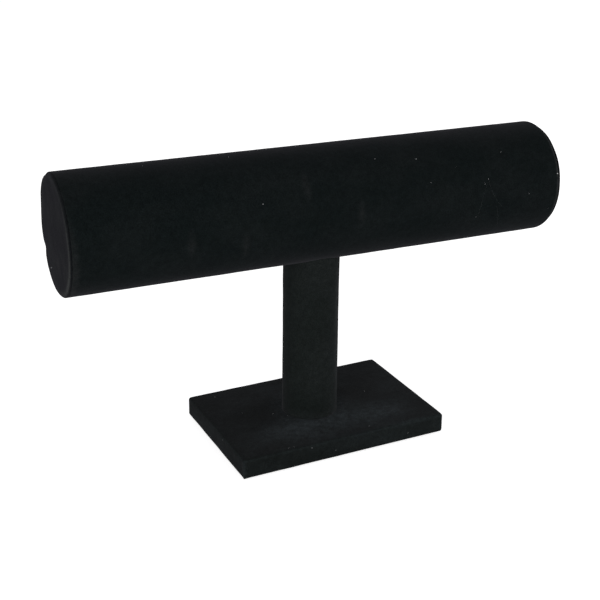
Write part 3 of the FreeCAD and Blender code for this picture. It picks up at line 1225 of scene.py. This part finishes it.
@dataclass
class Underlay:
    """The felt sheet glued under the base, over the end of the velvet's fold.

    Attributes:
        base: The base it lies under.
        margin: Velvet left showing round it, in metres.
        corner: Radius of its corners, in metres.
        step: How far its middle lies above the part over the fold, in metres.
        slope: How soft that step is, in metres.
        cells: Its mesh's cells, along and across.
        pressed: Its thickness, as a share of half its solid's.
    """

    base: Base
    margin: float = 4.0 * MM
    corner: float = 2.0 * MM
    step: float = 0.25 * MM
    slope: float = 0.5 * MM
    cells: tuple[int, int] = (56, 36)
    pressed: float = 0.95

    def felt(self, material: Material) -> Piece:
        """Builds the felt sheet, its middle showing the step of the fold it covers.

        Args:
            material: The felt.

        Returns:
            The felt sheet.
        """
        low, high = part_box("base_underlay")
        thick = (high.z - low.z) / 2.0
        size = (self.base.length - 2.0 * self.margin, self.base.depth - 2.0 * self.margin)
        bm = bmesh.new()
        bmesh.ops.create_grid(bm, x_segments=self.cells[0], y_segments=self.cells[1], size=0.5)
        bmesh.ops.scale(bm, vec=(*size, 1.0), verts=bm.verts[:])
        for vert in bm.verts:
            self.round_corner(vert, size)
            over = 1.0 + math.exp(-self.base.past_fold(vert.co) / self.slope)
            vert.co.z = low.z + thick + self.step / over
        bmesh.ops.solidify(bm, geom=bm.faces[:], thickness=thick * self.pressed)
        bmesh.ops.transform(bm, matrix=self.base.place, verts=bm.verts[:])
        piece = finish_piece(bm, "base_felt", Slot.FELT, material)
        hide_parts("base_underlay")
        return piece

    def round_corner(self, vert: BMVert, size: Pair) -> None:
        """Draws a vertex in to the round of its corner, if it lies past it.

        Args:
            vert: The vertex.
            size: The sheet's length and depth, in metres.
        """
        corner = self.corner
        away = Vector((abs(vert.co.x) - size[0] / 2.0 + corner, abs(vert.co.y) - size[1] / 2.0 + corner))
        if min(away) > 0.0 and away.length > corner:
            pulled = away * (corner / away.length - 1.0)
            vert.co.x += math.copysign(1.0, vert.co.x) * pulled.x
            vert.co.y += math.copysign(1.0, vert.co.y) * pulled.y


# The camera

@dataclass(frozen=True)
class Eye:
    """The photograph's camera.

    Attributes:
        at: Its place, in metres.
        aim: A point on its view axis, in metres.
        roll: Its roll, in radians.
        lens: Focal length, in millimetres.
        sensor: Width of the picture behind the lens, in millimetres.
        frame_px: Width of the picture, in pixels.
        clip: Nearest and furthest that it sees, in metres.
    """

    at: Vector = Vector((-0.19872, -0.42414, 0.25469))
    aim: Vector = Vector((-0.00542, 0.0, 0.06380))
    roll: float = math.radians(0.457)
    lens: float = 67.60
    sensor: float = 36.0
    frame_px: float = 600.0
    clip: Span = (0.01, 50.0)

    @property
    def facing(self) -> Matrix:
        """The camera's rotation."""
        turn = (self.aim - self.at).to_track_quat("-Z", "Y").to_matrix()
        return (turn @ Matrix.Rotation(self.roll, 3, "Z")).to_4x4()

    def ray(self, pixel: Pixel) -> Vector:
        """Gives the direction through a pixel.

        Args:
            pixel: The pixel.

        Returns:
            The direction.
        """
        focal = self.lens / self.sensor * self.frame_px
        half = self.frame_px / 2.0
        local = Vector(((pixel[0] - half) / focal, (half - pixel[1]) / focal, -1.0))
        return (self.facing.to_3x3() @ local).normalized()

    def on_bar(self, bar: Bar, pixel: Pixel) -> tuple[float, ...]:
        """Gives the point of the bar that a pixel shows: where the ray first meets the round.

        Args:
            bar: The bar.
            pixel: The pixel.

        Returns:
            The point.
        """
        ray, start = self.ray(pixel), self.at - bar.axis
        square = ray.y ** 2 + ray.z ** 2
        slope = start.y * ray.y + start.z * ray.z
        rest = start.y ** 2 + start.z ** 2 - bar.radius ** 2
        return tuple(self.at + ray * (-slope - math.sqrt(slope * slope - square * rest)) / square)

    def set_up(self) -> None:
        """Adds the camera to the scene."""
        data = bpy.data.cameras.new("camera")
        data.lens = self.lens
        data.sensor_width = self.sensor
        data.clip_start, data.clip_end = self.clip
        camera = bpy.data.objects.new("camera", data)
        camera.matrix_world = Matrix.Translation(self.at) @ self.facing
        bpy.context.scene.collection.objects.link(camera)
        bpy.context.scene.camera = camera


# The lint

@dataclass(frozen=True)
class Fleck:
    """One speck of lint.

    Attributes:
        pixel: Where the photograph shows it.
        width: Its width, in metres.
    """

    pixel: Pixel
    width: float = 0.2 * MM


FLECKS = (
    Fleck((375.0, 159.0), 0.30 * MM), Fleck((416.0, 159.0), 0.34 * MM), Fleck((456.0, 167.0), 0.14 * MM),
    Fleck((501.0, 152.0), 0.25 * MM), Fleck((431.0, 182.5)), Fleck((488.5, 179.0), 0.24 * MM),
    Fleck((485.0, 184.0), 0.24 * MM), Fleck((529.0, 193.5), 0.25 * MM), Fleck((476.0, 217.0), 0.25 * MM),
    Fleck((263.0, 204.0), 0.28 * MM), Fleck((228.5, 157.0), 0.30 * MM), Fleck((142.5, 166.0), 0.22 * MM),
    Fleck((548.0, 208.0)), Fleck((51.5, 267.5), 0.38 * MM), Fleck((557.6, 173.5), 0.55 * MM),
    Fleck((364.0, 391.0), 0.30 * MM), Fleck((242.0, 413.0), 0.21 * MM), Fleck((273.0, 413.5), 0.28 * MM),
    Fleck((288.0, 415.0)), Fleck((312.0, 448.0), 0.27 * MM), Fleck((294.0, 447.0), 0.18 * MM),
    Fleck((288.5, 448.0)), Fleck((336.0, 450.0)), Fleck((215.0, 397.0), 0.18 * MM),
    Fleck((369.0, 426.0), 0.18 * MM), Fleck((408.0, 433.0), 0.26 * MM), Fleck((222.0, 440.0), 0.21 * MM),
)
# Each hair's path over the picture, in pixels.
HAIRS = (
    ((489.0, 179.0), (490.0, 186.0), (494.0, 195.0), (498.0, 202.0), (501.5, 206.0)),
    ((488.0, 182.0), (484.0, 193.0), (481.5, 204.0), (477.5, 216.0)),
    ((496.5, 206.0), (498.0, 214.0), (497.0, 225.0)),
)


@dataclass
class Lint:
    """The pale specks and hairs caught in the pile, each lying on the velvet that it is seen on.

    Attributes:
        eye: The photograph's camera.
        carriers: The velvet pieces.
        speck: The specks' finish.
        speck_shape: A speck's length, width and height, as shares of its size.
        speck_turn: How far each speck is turned from the last, in radians.
        strand: The hairs' finish.
        hair: Thickness of a hair, in metres.
        lift: How far a hair's points lie over the pile, in metres.
        hair_steps: Where a hair gets points, between two of its path's pixels.
        surfaces: The velvet pieces' surfaces, for rays.
    """

    eye: Eye
    carriers: Sequence[Piece]
    speck: Fibre = Fibre("lint", dark=(0.45, 0.45, 0.46), light=(0.80, 0.80, 0.82))
    speck_shape: tuple[float, float, float] = (1.2, 0.8, 0.6)
    speck_turn: float = 2.4
    strand: Fibre = Fibre("hair", dark=(0.035, 0.040, 0.040), light=(0.060, 0.065, 0.065))
    hair: float = 0.03 * MM
    lift: float = 0.12 * MM
    hair_steps: tuple[float, ...] = (0.0, 0.33, 0.67)
    surfaces: list[BVHTree] = field(init=False)

    def __post_init__(self) -> None:
        """Reads the velvet's surfaces once, for every ray."""
        graph = bpy.context.evaluated_depsgraph_get()
        self.surfaces = [BVHTree.FromObject(piece, graph) for piece in self.carriers]

    def spot(self, pixel: Pixel) -> tuple[Vector, Vector]:
        """Gives the nearest velvet's point and normal under a pixel."""
        hits = [surface.ray_cast(self.eye.at, self.eye.ray(pixel)) for surface in self.surfaces]
        return min((hit for hit in hits if hit[0] is not None), key=lambda hit: hit[3])[:2]

    def specks(self, flecks: Sequence[Fleck]) -> Piece:
        """Builds the specks.

        Args:
            flecks: The specks.

        Returns:
            The specks, as one piece.
        """
        bm = bmesh.new()
        for number, fleck in enumerate(flecks):
            place, normal = self.spot(fleck.pixel)
            new = bmesh.ops.create_icosphere(bm, subdivisions=1, radius=fleck.width / 2.0)["verts"]
            bmesh.ops.scale(bm, vec=self.speck_shape, verts=new)
            turn = Matrix.Rotation(number * self.speck_turn, 3, Z_AXIS)
            lie = normal.to_track_quat("Z", "Y").to_matrix() @ turn
            bmesh.ops.transform(bm, matrix=Matrix.Translation(place) @ lie.to_4x4(), verts=new)
        return finish_piece(bm, "lint_specks", Slot.VELVET, self.speck.dress())

    def hairs(self, paths: Sequence[Sequence[Pixel]]) -> Piece:
        """Builds the hairs: thin curves through the velvet's points under each path's pixels.

        Args:
            paths: The hairs' paths, in pixels.

        Returns:
            The hairs, as one piece.
        """
        curve = bpy.data.curves.new("hair_paths", "CURVE")
        curve.dimensions = "3D"
        curve.bevel_depth = self.hair / 2.0
        curve.bevel_resolution = 0
        curve.use_fill_caps = True
        for path in paths:
            pairs = zip(path, path[1:])
            pixels = [Vector(start).lerp(end, share) for start, end in pairs for share in self.hair_steps]
            points = [place + normal * self.lift for place, normal in map(self.spot, [*pixels, path[-1]])]
            spline = curve.splines.new("NURBS")
            spline.points.add(len(points) - 1)
            spline.use_endpoint_u = True
            spline.order_u = 3
            for handle, point in zip(spline.points, points):
                handle.co = (*point, 1.0)
        holder = bpy.data.objects.new("hair_paths", curve)
        bm = bmesh.new()
        bm.from_mesh(holder.to_mesh())
        bpy.data.objects.remove(holder)
        bpy.data.curves.remove(curve)
        return finish_piece(bm, "lint_hairs", Slot.VELVET, self.strand.dress())


# The light

@dataclass(frozen=True)
class Lamp:
    """A soft rectangular lamp that faces the stand.

    Attributes:
        name: Its name.
        at: Its place, in metres.
        size: Its width and height, in metres.
        power: Its power, in watts.
    """

    name: str
    at: tuple[float, float, float]
    size: Pair
    power: float

    def hang(self, aim: Vector) -> None:
        """Adds the lamp to the scene.

        Args:
            aim: The point it faces, in metres.
        """
        data = bpy.data.lights.new(self.name, "AREA")
        data.shape = "RECTANGLE"
        data.size, data.size_y = self.size
        data.energy = self.power
        lamp = bpy.data.objects.new(self.name, data)
        lamp.location = self.at
        lamp.rotation_euler = (aim - Vector(self.at)).to_track_quat("-Z", "Y").to_euler()
        bpy.context.scene.collection.objects.link(lamp)


@dataclass
class Studio:
    """A white floor, soft lamps and an even pale world.

    Attributes:
        aim: The point that the lamps face, in metres.
        floor_half: Half the floor's width, in metres.
        floor_paint: How much light the floor gives back.
        floor_white: The floor's own white, for the camera and in gloss.
        world_light: The world's level on the object.
        lamps: The lamps.
    """

    aim: Vector = Vector(mm(0.0, 0.0, 80.0))
    floor_half: float = 2.5
    floor_paint: float = 0.8
    floor_white: float = 0.74
    world_light: float = 0.35
    lamps: tuple[Lamp, ...] = (
        Lamp("front_low", at=(0.0, -1.0, 0.12), size=(0.9, 0.2), power=1.9),
        Lamp("left_front", at=(-0.8, -0.8, 0.3), size=(0.5, 0.5), power=4.3),
        Lamp("left", at=(-1.0, -0.1, 0.35), size=(0.6, 0.6), power=1.0),
        Lamp("right", at=(1.0, 0.0, 0.35), size=(0.6, 0.6), power=2.6),
        Lamp("right_low", at=(1.0, 0.05, 0.1), size=(0.5, 0.2), power=1.8),
        Lamp("right_front", at=(0.8, -0.8, 0.3), size=(0.5, 0.5), power=0.7),
        Lamp("back", at=(0.0, 1.0, 0.1), size=(0.9, 0.3), power=2.8),
    )

    def set_up(self) -> None:
        """Adds the floor, the world and the lamps."""
        self.floor()
        self.world()
        for lamp in self.lamps:
            lamp.hang(self.aim)

    def floor(self) -> None:
        """Adds the floor: painted white, white to the camera, darker under the stand."""
        bm = bmesh.new()
        bmesh.ops.create_grid(bm, x_segments=1, y_segments=1, size=self.floor_half)
        mesh = bpy.data.meshes.new("floor")
        bm.to_mesh(mesh)
        bm.free()
        shader = Shader("floor_white")
        paint = shader.add("BsdfDiffuse")
        paint.inputs["Color"].default_value = (self.floor_paint, self.floor_paint, self.floor_paint, 1.0)
        own = shader.add("Emission")
        both = shader.add("AddShader")
        shader.link(shader.math("MULTIPLY", shader.seen(), self.floor_white), own.inputs["Strength"])
        shader.link(paint.outputs["BSDF"], both.inputs[0])
        shader.link(own.outputs["Emission"], both.inputs[1])
        shader.link(both.outputs["Shader"], shader.output.inputs["Surface"])
        mesh.materials.append(shader.material)
        floor = bpy.data.objects.new("floor", mesh)
        bpy.context.scene.collection.objects.link(floor)
        floor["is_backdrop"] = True

    def world(self) -> None:
        """Sets the world: white to the camera, gloss and glass, a lower level for other light."""
        world = bpy.data.worlds.new("white")
        world.use_nodes = True
        background = world.node_tree.nodes["Background"]
        background.inputs["Color"].default_value = (1.0, 1.0, 1.0, 1.0)
        nodes = Nodes(world.node_tree)
        level = nodes.spread(nodes.seen(), (0.0, 1.0), (self.world_light, 1.0))
        nodes.link(level, background.inputs["Strength"])
        bpy.context.scene.world = world


# The stand's stroked pile, its painted highlights and painted light, and the finishes inside it

# Where the photograph shows small brushed spots on the bar.
BRUSHED_PIXELS = ((307.0, 188.0), (362.0, 214.0), (192.0, 244.0), (246.0, 247.0))


def bar_marks(eye: Eye, bar: Bar) -> tuple[Mark, ...]:
    """Gives the bar's lighter places: brushed spots, and painted highlights over the opened pile at the
    sleeve's cut edges.

    Args:
        eye: The photograph's camera.
        bar: The bar.

    Returns:
        The marks.
    """
    end, height = bar.high.x, bar.axis.z
    # Painted highlights at the two cut edges, over pile that opens there; the left one lies on the lower
    # front.
    left_edge_highlight = Mark(
        (-end + 1.1 * MM, -20.0 * MM, height - 12.0 * MM), mm(2.4, 26.0, 26.0), strength=0.5, full=0.35,
    )
    right_edge_highlight = Mark((end - 0.8 * MM, -15.0 * MM, height), mm(0.7, 40.0, 40.0), strength=1.2, full=0.35)
    spots = [Mark(eye.on_bar(bar, pixel), mm(2.5, 9.0, 7.0), strength=0.45) for pixel in BRUSHED_PIXELS]
    return (left_edge_highlight, right_edge_highlight, *spots)


def base_marks(base: Base) -> tuple[Mark, ...]:
    """Gives the base's lighter places: stroked pile round the post's foot, painted light with stroked pile
    across the front of the top, and painted highlights on the front right edge and at the fold of the front
    left corner.

    Args:
        base: The base.

    Returns:
        The marks.
    """
    top, coarse, fine = base.high.z, 3.5 * MM, 1.8 * MM
    # These two: painted light with stroked pile across the front of the top, in front of the bar's shadow.
    patch = Mark((-9.0 * MM, -18.0 * MM, top), mm(27.0, 16.0, 8.0), strength=0.95, full=0.25, tuft=coarse)
    right = Mark((24.0 * MM, -18.0 * MM, top), mm(25.0, 13.0, 8.0), strength=0.75, full=0.2, tuft=coarse)
    foot = Mark((0.0, 0.0, top), mm(21.0, 21.0, 5.0), strength=0.6, full=0.6, tuft=fine)
    # Painted highlight along the front right top edge.
    edge = Mark((37.0 * MM, -31.0 * MM, top), mm(22.0, 2.2, 2.5), strength=0.6)
    # Painted highlight on the fold at the front left corner.
    fold = Mark((-47.0 * MM, -34.5 * MM, top / 2.0), mm(2.0, 2.0, 6.0), strength=0.25, full=0.4)
    return (patch, right, foot, edge, fold)


def post_marks(post: Post, base: Base) -> tuple[Mark, ...]:
    """Gives the post's painted light: a painted highlight down its right side, and painted light on its front
    low down and under the bar.

    Args:
        post: The post.
        base: The base it stands on.

    Returns:
        The marks.
    """
    radius = post.high.x
    # Painted highlight down the post's right side.
    right = Mark((0.8 * radius, -0.6 * radius, 56.0 * MM), mm(5.0, 5.0, 45.0), strength=0.6, full=0.3)
    # Painted light on the post's lower front.
    lower = Mark((0.0, -radius, base.high.z + 24.0 * MM), mm(16.0, 14.0, 18.0), strength=0.12, full=0.2)
    # Painted light on the post's front just under the bar, where the bar shades it.
    upper = Mark((0.0, -radius, 80.0 * MM), mm(16.0, 14.0, 14.0), strength=0.12, full=0.3)
    return (right, lower, upper)


def dress_inside() -> None:
    """Gives the pieces inside the stand their paper board, wood, fibreboard and steel."""
    paper = Grain("paper_tube", dark=(0.30, 0.23, 0.15), light=(0.48, 0.39, 0.28), streak=mm(12.0, 3.0, 3.0))
    wood = Grain("turned_wood", dark=(0.42, 0.28, 0.15), light=(0.66, 0.50, 0.32), streak=mm(1.5, 1.5, 30.0))
    board = Grain("fibreboard", dark=(0.33, 0.23, 0.14), light=(0.50, 0.38, 0.25), streak=mm(0.8))
    finishes = (
        (paper, ("bar_tube",)),
        (wood, ("bar_plug_left", "bar_plug_right", "post_core")),
        (board, ("base_board",)),
        (Plated(), ("bar_screw", "base_screw")),
    )
    for finish, nodes in finishes:
        material = finish.dress()
        for node in nodes:
            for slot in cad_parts[node].material_slots:
                slot.material = material
            log.info("%s: %s", node, material.name)


def main() -> None:
    """Builds the camera, the studio and the stand's looks, in order."""
    logging.basicConfig(level=logging.INFO, format="%(message)s")
    bpy.context.scene.view_settings.view_transform = "Standard"
    eye = Eye()
    eye.set_up()
    Studio().set_up()

    bar = Bar()
    post = Post(bar)
    base = Base()
    bar_velvet = Velvet("velvet_bar", marks=bar_marks(eye, bar), patchy=0.2).dress()
    # The ends' strong edge setting brightens the disc rims, and carries their painted highlight.
    end_velvet = Velvet("velvet_ends", tone=0.82, edge=1.9, patchy=0.5, deep=(0.0064, 0.0076, 0.0090)).dress()
    post_velvet = Velvet(
        "velvet_post", tone=1.6, marks=post_marks(post, base), edge=0.2, patchy=0.12,
        deep=(0.0064, 0.0080, 0.0076),
    ).dress()
    base_velvet = Velvet(
        "velvet_base", tone=1.38, marks=base_marks(base), edge=0.2,
        deep=(0.0066, 0.0079, 0.0077), stroked=(0.0156, 0.0194, 0.0206),
    ).dress()
    velvets = [
        bar.sleeve(bar_velvet),
        EndDisc(bar, Side.LEFT, LEFT_LUMPS).cover(end_velvet),
        EndDisc(bar, Side.RIGHT, RIGHT_LUMPS).cover(end_velvet),
        post.sleeve(post_velvet),
        base.wrap(base_velvet),
    ]
    Underlay(base).felt(Felt().dress())
    lint = Lint(eye, velvets)
    lint.specks(FLECKS)
    lint.hairs(HAIRS)
    dress_inside()


if __name__ == "__main__":
    main()
    [[list(corner) for corner in box] for box in (CAD_BOX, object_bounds())]
